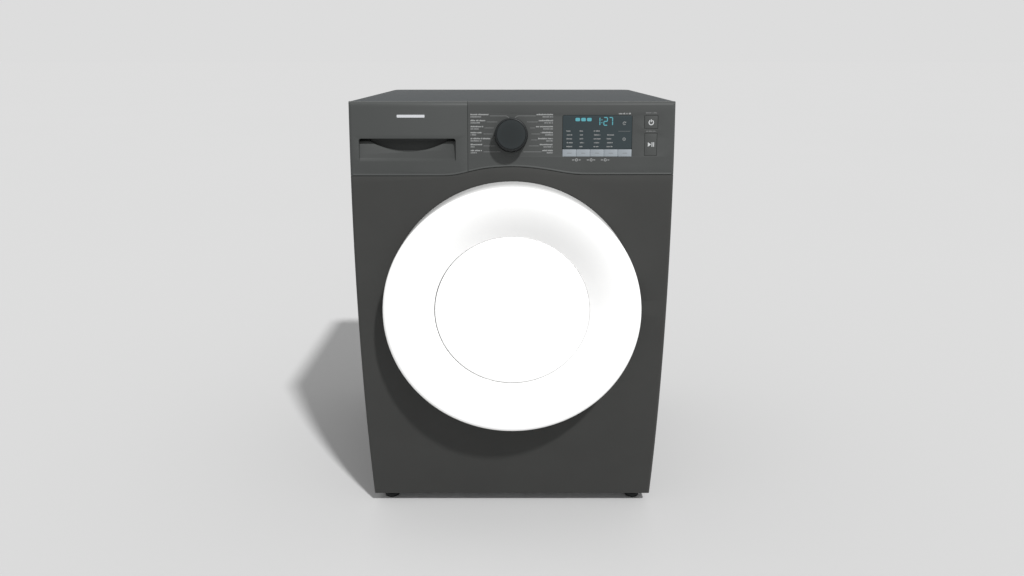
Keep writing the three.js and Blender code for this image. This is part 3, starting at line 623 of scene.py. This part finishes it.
# Keys and display window.
pane = prism("display_window_pane", round_rect(*DISPLAY, 3), 0, 2)
place(smooth(bend(bevel(pane, 0.3, 2))), WINDOW, "cabinet", "display_window")


def key(name, box, material):
    cap = prism(name + "_cap", round_rect(*box, KEY_CORNER, 3), -KEY_PROUD, KEY_DEPTH)
    place(smooth(bend(bevel(cap, 0.35, 2))), material, name, name)


ox0, ox1, oz0, oz1 = OPTION_ROW
pitch = (ox1 - ox0 + CUT_GAP) / 5
for i in range(5):
    x0 = ox0 + i * pitch
    key(f"option_button_{i + 1}", (x0, x0 + pitch - 0.3, oz0, oz1), SILVER)
key("power_button", POWER, MOULDING)
key("start_button", START, MOULDING)

# Knob, on the fascia's slope.
tilt = math.atan((KNOB_Z - APEX_Z) / BOW_R)
on_fascia = Matrix.Translation((KNOB_X * MM, bow(KNOB_Z) * MM, KNOB_Z * MM)) @ Matrix.Rotation(-tilt, 4, "X")


def turned_knob(name, profile, material):
    made = lathe(name, profile, 96, 0, 0)
    made.data.transform(on_fascia)
    place(smooth(made, 30), material, "program_knob", "program_knob")


K = KNOB_R
turned_knob("knob_body", [
    (0, 11), (4.5, 11), (4.5, -0.6), (K - 1.4, -0.6), (K - 0.4, -1.2), (K - 0.1, -2.4), (K - 0.1, -4.5),
    (K - 0.6, -8), (K - 0.8, -14), (K - 0.9, -19.5), (K - 1.3, -21.6), (K - 2.2, -23.0), (K - 3.2, -23.6),
    (K - 4.0, -23.7), (K - 4.4, -23.2), (K - 4.4, -21.5), (0, -21.5),
], BLACK)
turned_knob("knob_cap", [
    (0, -21.6), (K - 4.7, -21.6), (K - 4.7, -22.9), (K - 5.2, -23.3), (16, -23.7), (0, -23.8),
], KNOB_FACE)


# ---- printing ----
def decals(name, outlines, material, body="cabinet", lift=0.1, sink=0.05):
    """Thin flat marks on the bowed front, one mesh."""
    verts, faces = [], []
    for outline in outlines:
        n, at = len(outline), len(verts)
        verts += [(x, -lift, z) for x, z in outline] + [(x, sink, z) for x, z in outline]
        faces += solid_faces(n, at)
    place(onto_bow(mesh_object(name, verts, faces)), material, body)


def arc_bar(x, z, r, thick, a0, a1, steps=10):
    """Curved bar as a run of quads."""
    out = []
    for i in range(steps):
        a, b = (math.radians(a0 + (a1 - a0) * k / steps) for k in (i, i + 1))
        outer, inner = r + thick / 2, r - thick / 2
        corners = ((inner, a), (outer, a), (outer, b), (inner, b))
        out.append([(x + q * math.cos(t), z + q * math.sin(t)) for q, t in corners])
    return out


def bar(x0, z0, x1, z1, thick):
    """Straight bar between two points."""
    dx, dz = x1 - x0, z1 - z0
    n = math.hypot(dx, dz)
    ox, oz = -dz / n * thick / 2, dx / n * thick / 2
    return [(x0 + ox, z0 + oz), (x0 - ox, z0 - oz), (x1 - ox, z1 - oz), (x1 + ox, z1 + oz)]


def glyph_run(x0, width, z, height, seed):
    """A line of small unreadable marks of uneven widths, with a few word gaps."""
    rng = np.random.RandomState(seed)
    out, x = [], x0
    while x < x0 + width - 0.5:
        w = float(rng.uniform(0.75, 1.5)) * height / 2.2
        h = height * (1.0 if rng.rand() < 0.3 else 0.78)
        out.append(rect(x, min(x + w, x0 + width), z, z + h))
        x += w + height * (0.6 if rng.rand() < 0.16 else 0.16)
    return out


# Seven rows of programme names each side of the knob, with leaders that stop short of it.
LABEL_LEFT, LABEL_RIGHT, LEADER_R = -76, 75, 36
row_z = [826.0 - 10.6 * i for i in range(7)]
left_widths = [(33, 20), (27, 17), (23, 15), (21, 10), (36, 20), (21, 8), (21, 12)]
right_widths = [(30, 19), (26, 16), (31, 18), (22, 14), (27, 12), (24, 17), (19, 11)]
bright, dim, leaders = [], [], []
for i, z in enumerate(row_z):
    for side, widths in ((-1, left_widths), (1, right_widths)):
        w1, w2 = widths[i]
        x1 = LABEL_LEFT if side < 0 else LABEL_RIGHT - w1
        x2 = LABEL_LEFT if side < 0 else LABEL_RIGHT - w2
        bright += glyph_run(x1, w1, z + 0.2, 2.6, 10 * i + side + 3)
        dim += glyph_run(x2, w2, z - 3.7, 2.4, 10 * i + side + 5)
        start_x = side * (-LABEL_LEFT - w1 - 2.5)
        dz = z - 1 - KNOB_Z
        reach = math.sqrt(max(0, LEADER_R**2 - dz**2))
        end_x = side * max(reach, 9.0)
        if abs(start_x) > abs(end_x) + 2:
            leaders.append(bar(start_x, z - 1, end_x, z - 1, 0.8))
        if i == 0:
            leaders.append(bar(end_x, z - 1, side * 5.5, z - 4.4, 0.8))
decals("program_names", bright, LABEL)
decals("program_notes", dim, LABEL_DIM)
decals("program_leaders", leaders, LINE)

# ---- display figures and marks ----
lit = [round_rect(x - 4.2, x + 4.2, 815.6, 821.6, 1.8) for x in (120.4, 131, 141.6)]
# Strokes of each figure, lettered a to g as on any seven-segment display.
SEGMENTS = {"1": "bc", "2": "abged", "7": "abc"}


def digit(x, z, w, h, shape):
    """One seven-segment figure."""
    t, g = 1.7, 0.35
    mid = z + h / 2
    ends = {
        "a": (x + g, z + h, x + w - g, z + h),
        "b": (x + w, mid + g, x + w, z + h - g),
        "c": (x + w, z + g, x + w, mid - g),
        "d": (x + g, z, x + w - g, z),
        "e": (x, z + g, x, mid - g),
        "g": (x + g, mid, x + w - g, mid),
    }
    return [bar(*ends[s], t) for s in SEGMENTS[shape]]


lit += digit(155.5, 808.6, 5.5, 13.6, "1")
lit += [rect(163.8, 165.4, 812.2, 813.9), rect(163.8, 165.4, 817.2, 818.9)]
lit += digit(168.3, 808.6, 6.4, 13.6, "2") + digit(178.2, 808.6, 6.0, 13.6, "7")
decals("display_figures", lit, GLOW)
marks = []
for i in range(5):
    z = 797.4 - 6.9 * i
    for k, (x0, x1) in enumerate(((100, 112), (124, 132), (150, 163), (174, 187))):
        if (i, k) != (0, 3):
            width = (x1 - x0) * (0.75 + 0.05 * ((i + k) % 5))
            marks += glyph_run(x0 + (i % 2) * 0.8, width, z, 2.2, 40 + 7 * i + k)
marks += arc_bar(206, 812, 2.6, 0.9, 40, 320) + [bar(206, 812, 209.2, 814.4, 0.9)]
marks += arc_bar(206, 784, 2.4, 0.9, 0, 360, 14) + [rect(205.4, 206.6, 783.4, 784.6)]
decals("display_marks", marks, LABEL_DIM)
decals("display_rule", [bar(195, 798, 217, 798, 0.5)], LINE)
decals("display_heading", glyph_run(195.5, 22.5, 827.8, 2.6, 91), LABEL)
# Marks on the keys lie higher, because the keys stand proud of the front.
ON_KEY = (KEY_PROUD + 0.1, -0.1)
icons = []
for x in (119, 146, 172):
    icons += arc_bar(x, 747, 2.1, 1.1, 0, 360, 14)
    icons += [rect(x - 8, x - 4, 746.3, 747.6), rect(x + 4, x + 7.5, 746.3, 747.6)]
decals("option_icons", icons, LABEL)
for i in range(5):
    x = ox0 + (i + 0.5) * pitch
    mark = [rect(x - 4, x + 4, 758.7, 759.5)]
    decals(f"option_mark_{i + 1}", mark, LINE, f"option_button_{i + 1}", *ON_KEY)
px, pz = (POWER[0] + POWER[1]) / 2, (POWER[2] + POWER[3]) / 2 - 0.5
power_mark = arc_bar(px, pz, 4.1, 1.7, 120, 420, 22) + [rect(px - 0.8, px + 0.8, pz + 0.6, pz + 5.4)]
decals("power_icon", power_mark, ICON, "power_button", *ON_KEY)
sx, sz = (START[0] + START[1]) / 2, (START[2] + START[3]) / 2
start_mark = [
    [(sx - 5.2, sz - 4), (sx + 0.8, sz), (sx - 5.2, sz + 4)],
    rect(sx + 1.6, sx + 3.2, sz - 4, sz + 4),
    rect(sx + 4.6, sx + 6.2, sz - 4, sz + 4),
]
decals("start_icon", start_mark, ICON, "start_button", *ON_KEY)
decals("key_captions", glyph_run(245, 20, 829.5, 1.8, 77) + glyph_run(246, 18, 797.2, 1.8, 78), LINE)
decals("blank_badge", [round_rect(-211, -160, 822, 827, 1.2)], BADGE, "detergent_drawer", 0.5)

# ---- door ----
ring_front = curve_through([
    (DOOR_R, -326), (DOOR_R - 0.7, -330.6), (DOOR_R - 3, -334.3), (DOOR_R - 6.8, -336.9),
    (DOOR_R - 12, -338), (DOOR_R - 20, -337.2), (208, -334.4), (192, -329.4), (176, -323), (162, -316.6),
    (151, -311.4), (148.6, -310),
], 4)
ring_back = curve_through([
    (152, -306.4), (165, -313.4), (185, -322), (205, -329.4), (DOOR_R - 18, -333.4),
    (DOOR_R - 10, -332.6), (DOOR_R - 5.6, -329.4), (DOOR_R - 4, -325),
], 2)
ring_profile = (
    [(DOOR_R, None)] + ring_front + [(147.9, -308.8), (147.8, -299.6), (152, -299.6)]
    + ring_back + [(DOOR_R - 4, None)]
)
door_ring = lathe("door_ring", ring_profile, 160, back_edge=lambda z: bow(z) - 2)
boolean(
    door_ring,
    block(-250, -220, -291, -200, AXIS_Z - 60, AXIS_Z + 60),
    block(-250, -220, HINGE_Y - 12, -200, AXIS_Z - 14, AXIS_Z + 14),
    block(224, 250, -306, -200, AXIS_Z - 55, AXIS_Z + 55),
)
bevel(door_ring, 0.8, 2, 50)
place(smooth(door_ring, 45), WHITE, "door", "door_outer_ring")

# The cover sits a little high and right in its seam, which is widest at the lower left.
COVER_SHIFT = (0.45 * MM, 0, 0.75 * MM)
cover_front = curve_through([(0, -313.4), (50, -313.3), (100, -312.8), (138, -311.9), (144.9, -311.6)], 5)
cover_edge = [(146.1, -311.3), (146.6, -310.6), (146.6, -303.2), (0, -303.2)]
cover = lathe("door_cover", cover_front + cover_edge, 160)
cover.data.transform(Matrix.Translation(COVER_SHIFT))
place(smooth(cover, 45), WHITE, "door", "door_window_cover")

inner = lathe("door_frame_ring", [
    (151, -293.6), (151, -290.4), (152.4, -289), (176, -289), (177.5, -290.2), (182, -290.2), (183.5, -289),
    (205.4, -289), (207, -290.6), (207, -304), (204, -304), (204, -293.6),
], 128)
upright = Matrix.Rotation(math.pi / 2, 4, "X")
lugs = []
for s in (-1, 1):
    a, b = sorted((AXIS_Z + s * 12.6, AXIS_Z + s * 28))
    lugs.append(block(HINGE_X, -200, HINGE_Y - 4, HINGE_Y + 4, a, b))
    lugs.append(block(-206, -200, HINGE_Y - 4, -290, a, b))
    knuckle = lathe("knuckle", [(2.8, a), (5.5, a), (5.5, b), (2.8, b)], 32, 0, 0)
    knuckle.data.transform(Matrix.Translation((HINGE_X * MM, HINGE_Y * MM, 0)) @ upright)
    lugs.append(knuckle)
inner = bevel(join("door_frame_ring", inner, *lugs), 0.6, 2, 50)
place(smooth(inner, 40), GREY, "door", "door_inner_ring")

# Glass bowl: side towards the drum, flange, side towards the front.
bowl_out = curve_through([
    (0, -166), (45, -166.4), (80, -168), (104, -172.4), (118, -179.5), (125.5, -190), (129, -203),
], 4)
bowl_flange = [(148.4, -291), (150.5, -294), (168, -294), (168, -298), (146.5, -298), (144, -290)]
bowl_in = curve_through([
    (124.9, -203), (121.4, -191.5), (114.6, -182.6), (102, -176.2), (79, -172), (45, -170.4), (0, -170),
], 4)
bowl = lathe("door_bowl", bowl_out + bowl_flange + bowl_in, 128)
place(smooth(bowl, 40), GLASS, "door", "door_glass")
hook = bevel(copy_of("latch_hook", "latch_hook_plate"), 0.8, 3)
place(smooth(hook), ZINC, "latch", "latch_hook")

# ---- gasket, tub and drum ----
gasket_line = curve_through([
    (171, -286), (160, -284), (152, -280), (151, -275.5), (157, -275.5), (165, -277), (166.5, -270),
    (166, -263), (156, -258.5), (154, -253), (157, -248), (166, -243), (167, -238), (159, -233),
    (157, -228), (161, -223), (170, -217), (171, -209), (171, -200),
], 4)
gasket_back = curve_through([
    (174.4, -200), (174.4, -213), (173, -219), (164, -226.5), (162.6, -230), (166, -234), (173, -239),
    (173.2, -246), (164, -250), (160, -253), (164, -257), (170.8, -262),
], 4)
gasket = smooth(lathe("door_gasket_bellows", gasket_line + gasket_back, 128), 60)
gasket.data.materials.append(SEAL)
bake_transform(gasket)
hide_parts("door_gasket")


def perforated_drum(name):
    """Drum wall whose cylinder is a sheet of round holes, with rolled front and a dished back."""
    r_out, thick, y0, y1 = 240.0, 1.2, -162.0, 142.0
    r_in = r_out - thick
    columns, rows, sides, hole_r = 84, 17, 8, 2.6
    per_lifter = columns // 3
    cell_y, cell_a = (y1 - y0) / rows, 2 * math.pi / columns
    turn = 2 * math.pi
    verts, faces, known = [], [], {}

    def point(layer, a, y):
        k = (layer, round((a % turn) * 1e4) % round(turn * 1e4), round(y * 1e3))
        if k not in known:
            r = r_out - layer * thick
            known[k] = len(verts)
            verts.append((r * math.cos(a), y, AXIS_Z + r * math.sin(a)))
        return known[k]

    square = [(1, 0), (1, 1), (0, 1), (-1, 1), (-1, 0), (-1, -1), (0, -1), (1, -1)]
    for i in range(columns):
        for j in range(rows):
            ca, cy = (i + 0.5) * cell_a, y0 + (j + 0.5) * cell_y
            rim = [(ca + u * cell_a / 2, cy + v * cell_y / 2) for u, v in square]
            open_here = (i % per_lifter) not in (0, per_lifter - 1) and (i + j) % 2 == 0
            if not open_here:
                faces.append([point(0, *p) for p in rim])
                faces.append([point(1, *p) for p in rim[::-1]])
                continue
            corners = [turn * k / sides for k in range(sides)]
            hole = [(ca + hole_r * math.cos(t) / r_out, cy + hole_r * math.sin(t)) for t in corners]
            for k in range(sides):
                m = (k + 1) % sides
                for layer in (0, 1):
                    quad = [point(layer, *q) for q in (rim[k], rim[m], hole[m], hole[k])]
                    faces.append(quad if layer == 0 else quad[::-1])
                bore = [point(0, *hole[k]), point(0, *hole[m]), point(1, *hole[m]), point(1, *hole[k])]
                faces.append(bore)
    wall = mesh_object(name, verts, faces)
    mouth_outside = curve_through([
        (r_out, y0), (238, -172), (228, -181), (200, -186.5), (170, -190), (156, -194.4),
    ], 4)
    mouth_rim = [(152.6, -195.6), (151.2, -194.2), (152.6, -193.2)]
    mouth_inside = curve_through([
        (157, -193), (170, -188.8), (200, -185.2), (227, -180), (236.9, -171.6), (r_in, y0),
    ], 4)
    front = lathe("front", mouth_outside + mouth_rim + mouth_inside, 128)
    rear = lathe("rear", [
        (r_out, y1), (238.5, 147.5), (232, 151.8), (94, 152), (88, 149.5), (74, 136.5), (68, 134), (0, 134),
        (0, 132.8), (68.4, 132.8), (74.6, 135.3), (88.6, 148.3), (94.4, 150.8), (231.5, 150.6),
        (237.4, 146.8), (r_in, y1),
    ], 128)
    beads = []
    for r in (110, 150, 190, 215):
        section = [(r - 4, 150.9), (r - 2, 149.6), (r, 149.1), (r + 2, 149.6), (r + 4, 150.9)]
        beads.append(lathe("bead", section, 96))
    return join(name, wall, front, rear, *beads)


drum = smooth(perforated_drum("drum_basket"), 42)
place(drum, DRUM_STEEL, "drum", "drum_shell")

# Remaining nodes: CAD shape with eased edges, as (material, bevel width).
BEVELLED = {
    "tub_front": (TUB, 1.5), "tub_rear": (TUB, 1.5),
    "dispenser_housing": (GREY, 0.8), "inlet_valve": (TUB, 0.8),
    "front_counterweight": (CONCRETE, 3.0), "top_counterweight": (CONCRETE, 4.0),
    "drive_motor": (CAST, 1.2), "drum_spider": (CAST, 2.0), "drum_pulley": (CAST, 0.8),
    "drive_belt": (BELT, 0.5), "inlet_hose": (BELT, 0.3), "drain_hose": (BELT, 0.3),
    "drum_shaft": (SHAFT_STEEL, 0.8), "motor_rotor": (SHAFT_STEEL, 0.5),
    "damper_rod_left": (ZINC, 0.8), "damper_rod_right": (ZINC, 0.8),
    "damper_cylinder_left": (GREY, 1.0), "damper_cylinder_right": (GREY, 1.0),
    "drain_pump": (GREY, 1.2), "control_board": (GREY, 0.8), "drawer_tray": (GREY, 0.9),
    "drum_lifter_1": (GREY, 3.0), "drum_lifter_2": (GREY, 3.0), "drum_lifter_3": (GREY, 3.0),
    "base_tray": (ZINC, 0.8), "rear_panel": (ZINC, 0.5), "rear_service_cover": (ZINC, 0.6),
    "hinge_bracket": (ZINC, 0.7), "door_lock": (BLACK, 1.0),
    "mains_gland": (BLACK, 0.8), "drain_outlet": (BLACK, 0.6),
    "left_side_panel": (PAINT, 0.8), "right_side_panel": (PAINT, 0.8),
}
for node, (material, width) in BEVELLED.items():
    body = frame["nodes"][node]["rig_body"]
    shell = bevel(copy_of(node, node + "_shell"), width, 3, 40)
    place(smooth(shell, 42), material, body, node)

# Springs and sump hose run between the cabinet and the tub; each keeps its CAD shape with eased edges, cut
# into level slices, and is not stretched (boxes in metres).
for node, material, top_body in (
    ("tub_spring_left", SHAFT_STEEL, "cabinet"),
    ("tub_spring_right", SHAFT_STEEL, "cabinet"),
    ("sump_hose", SEAL, "tub"),
):
    low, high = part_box(node)
    cx, cy = (low.x + high.x) / 2, (low.y + high.y) / 2
    soft = smooth(bevel(copy_of(node, node + "_flexible"), 0.4, 2, 40), 60)
    slice_heights(soft, 6.0)
    soft.data.materials.clear()
    soft.data.materials.append(material)
    if top_body == "cabinet":
        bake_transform(soft)
    else:
        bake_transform(soft)
    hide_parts(node)

# Top cover: painted board with eased edges and rounded rear corners.
CORNER_R, CORNER_Y, BOARD_Z, BOARD_FRONT_Y = 22, 291, 820, -222.4
top_outline = [(-HALF_W, BOARD_FRONT_Y), (HALF_W, BOARD_FRONT_Y)]
for cx, a0 in ((HALF_W - CORNER_R, 0), (-HALF_W + CORNER_R, 90)):
    for i in range(11):
        a = math.radians(a0 + 9 * i)
        top_outline.append((cx + CORNER_R * math.cos(a), CORNER_Y + CORNER_R * math.sin(a)))
board = [(x, y, BOARD_Z) for x, y in top_outline] + [(x, y, TOP_Z) for x, y in top_outline]
top = mesh_object("top_cover_board", board, solid_faces(len(top_outline)))
bevel(top, 2.2, 4, 40)
place(smooth(top), TOP, "cabinet", "top_cover")

# Feet: cup with a lock nut and stem.
for node in ("foot_front_left", "foot_front_right", "foot_rear_left", "foot_rear_right"):
    low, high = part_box(node)
    cx, cy = (low.x + high.x) / 2, (low.y + high.y) / 2
    foot = lathe(node + "_cup", [
        (0, 0), (13.6, 0), (15.2, 0.6), (16, 2), (16, 6.4), (15.2, 8), (13.4, 9.4), (10, 10), (8.4, 10),
        (8.4, 16.6), (7.6, 17), (5, 17), (5, 52), (0, 52),
    ], 48, 0, 0)
    foot.data.transform(Matrix.Translation((cx, cy, 0)) @ upright)
    place(smooth(foot, 40), BLACK, node, node)


# Screws on the rear.
def screw_heads(name, places, y):
    """Domed cross-head screws facing +Y."""
    parts = []
    dome = [(0, y), (4.2, y), (4.2, y + 0.8), (3.4, y + 1.8), (1.6, y + 2.3), (0, y + 2.4)]
    for x, z in places:
        head = lathe("head", dome, 20, x, z)
        boolean(
            head,
            block(x - 2.2, x + 2.2, y + 1.2, y + 4, z - 0.5, z + 0.5),
            block(x - 0.5, x + 0.5, y + 1.2, y + 4, z - 2.2, z + 2.2),
        )
        parts.append(head)
    place(smooth(join(name, *parts), 40), SHAFT_STEEL, "cabinet")


REAR_Y, SERVICE_Y = 313.1, 316.0
edge_places = [(x, z) for x in (-288, 288) for z in (40, 230, 420, 610, 800)]
edge_places += [(x, z) for x in (-120, 120) for z in (40, 806)]
screw_heads("rear_screws", edge_places, REAR_Y)
COVER_SCREW_R, COVER_Z = 192, 426
screw_angles = [math.radians(30 + 60 * i) for i in range(6)]
ring_places = [(COVER_SCREW_R * math.cos(a), COVER_Z + COVER_SCREW_R * math.sin(a)) for a in screw_angles]
screw_heads("cover_screws", ring_places, SERVICE_Y)

# ---- stage: pale floor out to a horizon of the same tone ----
AIR_STRENGTH = 0.723
SUN_STRENGTH, SUN_SPREAD, SUN_TRAVEL = 3.5, 3.5, (-0.63, 1.0, -1.5)
FAR = 4e5
CAMERA_AT, CAMERA_DOWN, CAMERA_LENS = (0, -1.5506, 0.9213), 18.12, 24.44

corners = [(-FAR, -FAR, 0), (FAR, -FAR, 0), (FAR, FAR, 0), (-FAR, FAR, 0)]
floor = mesh_object("studio_floor", corners, [[0, 1, 2, 3]])
paper = Shader("studio_paper")
paper.drive(paper.mix(paper.noise(0.5, 2), (0.452, 0.452, 0.452), (0.458, 0.458, 0.458)), "Base Color")
paper.set(Roughness=1.0, Specular_IOR_Level=0.0)
floor.data.materials.append(paper.material)

sun_data = bpy.data.lights.new("key", "SUN")
sun_data.energy = SUN_STRENGTH
sun_data.angle = math.radians(SUN_SPREAD)
sun = bpy.data.objects.new("key", sun_data)
sun.rotation_mode = "QUATERNION"
sun.rotation_quaternion = Vector(SUN_TRAVEL).to_track_quat("-Z", "Y")
bpy.context.scene.collection.objects.link(sun)

world = bpy.data.worlds.new("studio_air")
world.use_nodes = True
background = world.node_tree.nodes["Background"]
background.inputs["Color"].default_value = (1, 1, 1, 1)
background.inputs["Strength"].default_value = AIR_STRENGTH
bpy.context.scene.world = world
bpy.context.scene.view_settings.view_transform = "Standard"

camera_data = bpy.data.cameras.new("camera")
camera_data.sensor_width = 36
camera_data.lens = CAMERA_LENS
camera = bpy.data.objects.new("camera", camera_data)
camera.location = CAMERA_AT
camera.rotation_euler = (math.radians(90 - CAMERA_DOWN), 0, 0)
bpy.context.scene.collection.objects.link(camera)
bpy.context.scene.camera = camera
